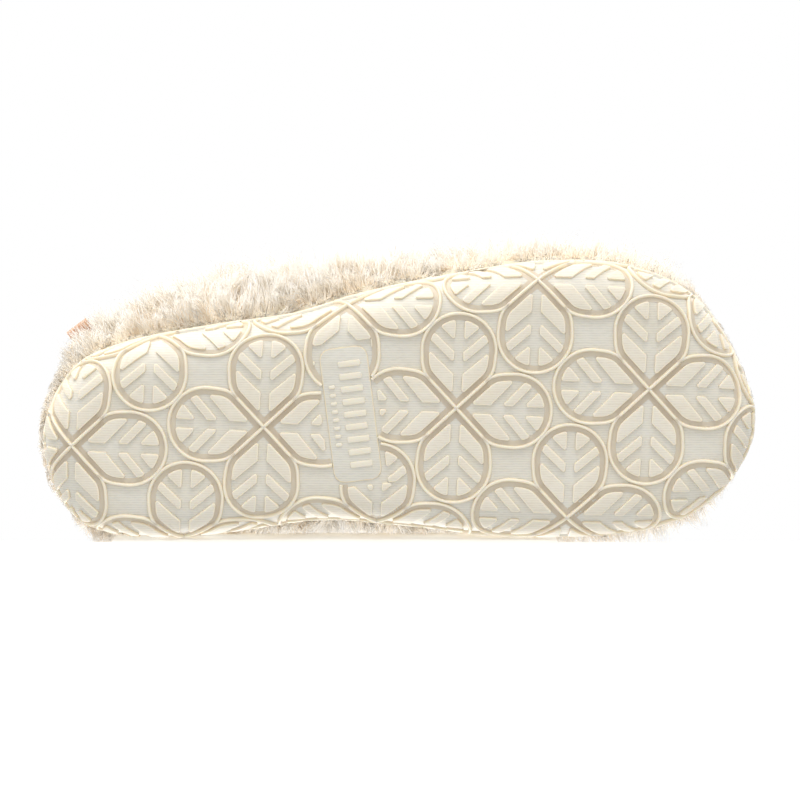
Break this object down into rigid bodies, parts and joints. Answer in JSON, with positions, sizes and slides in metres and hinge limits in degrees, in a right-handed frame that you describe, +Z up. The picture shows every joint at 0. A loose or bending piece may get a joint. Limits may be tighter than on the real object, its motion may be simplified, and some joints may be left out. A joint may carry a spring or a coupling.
{
  "type": "slipper",
  "caption": "Closed-back house slipper with a deep faux-fur upper and rolled fur collar, on a moulded cup sole with a rosette tread.",
  "frame": {"origin": "centre of the outsole's flat ground face, on the ground", "axes": "+Z up out of the ground, -Y towards the toe, +Y towards the heel, -X lateral (little-toe side), +X medial"},
  "size_m": [0.11, 0.2676, 0.0894],
  "materials": {
    "outsole_rubber": "matte, moulded with fine ribs",
    "midsole_foam": "matte closed-cell foam",
    "board": "matte fibre",
    "memory_foam": "matte open-cell foam",
    "fleece": "short soft pile",
    "faux_fur": "long soft pile",
    "cuff_fur": "long curly pile",
    "stiffener": "matte",
    "tape": "woven",
    "label_ribbon": "woven satin",
    "thread": "twisted polyester"
  },
  "bodies": {
    "root": {"outsole": "outsole_rubber", "midsole_foam": "midsole_foam", "strobel_board": "board", "strobel_stitching": "thread", "footbed_foam": "memory_foam", "footbed_fleece": "fleece", "vamp_fur": "faux_fur", "quarter_fur_lateral": "faux_fur", "quarter_fur_medial": "faux_fur", "seam_tape_lateral": "tape", "seam_tape_medial": "tape", "back_seam_tape": "tape", "vamp_padding": "memory_foam", "quarter_padding_lateral": "memory_foam", "quarter_padding_medial": "memory_foam", "toe_puff": "stiffener", "heel_counter": "stiffener", "vamp_lining": "fleece", "heel_lining": "fleece", "collar_cuff_fur": "cuff_fur", "collar_foam_roll": "memory_foam", "collar_stitching": "thread", "label_tab": "label_ribbon", "label_bartack": "thread"}
  },
  "joints": []
}
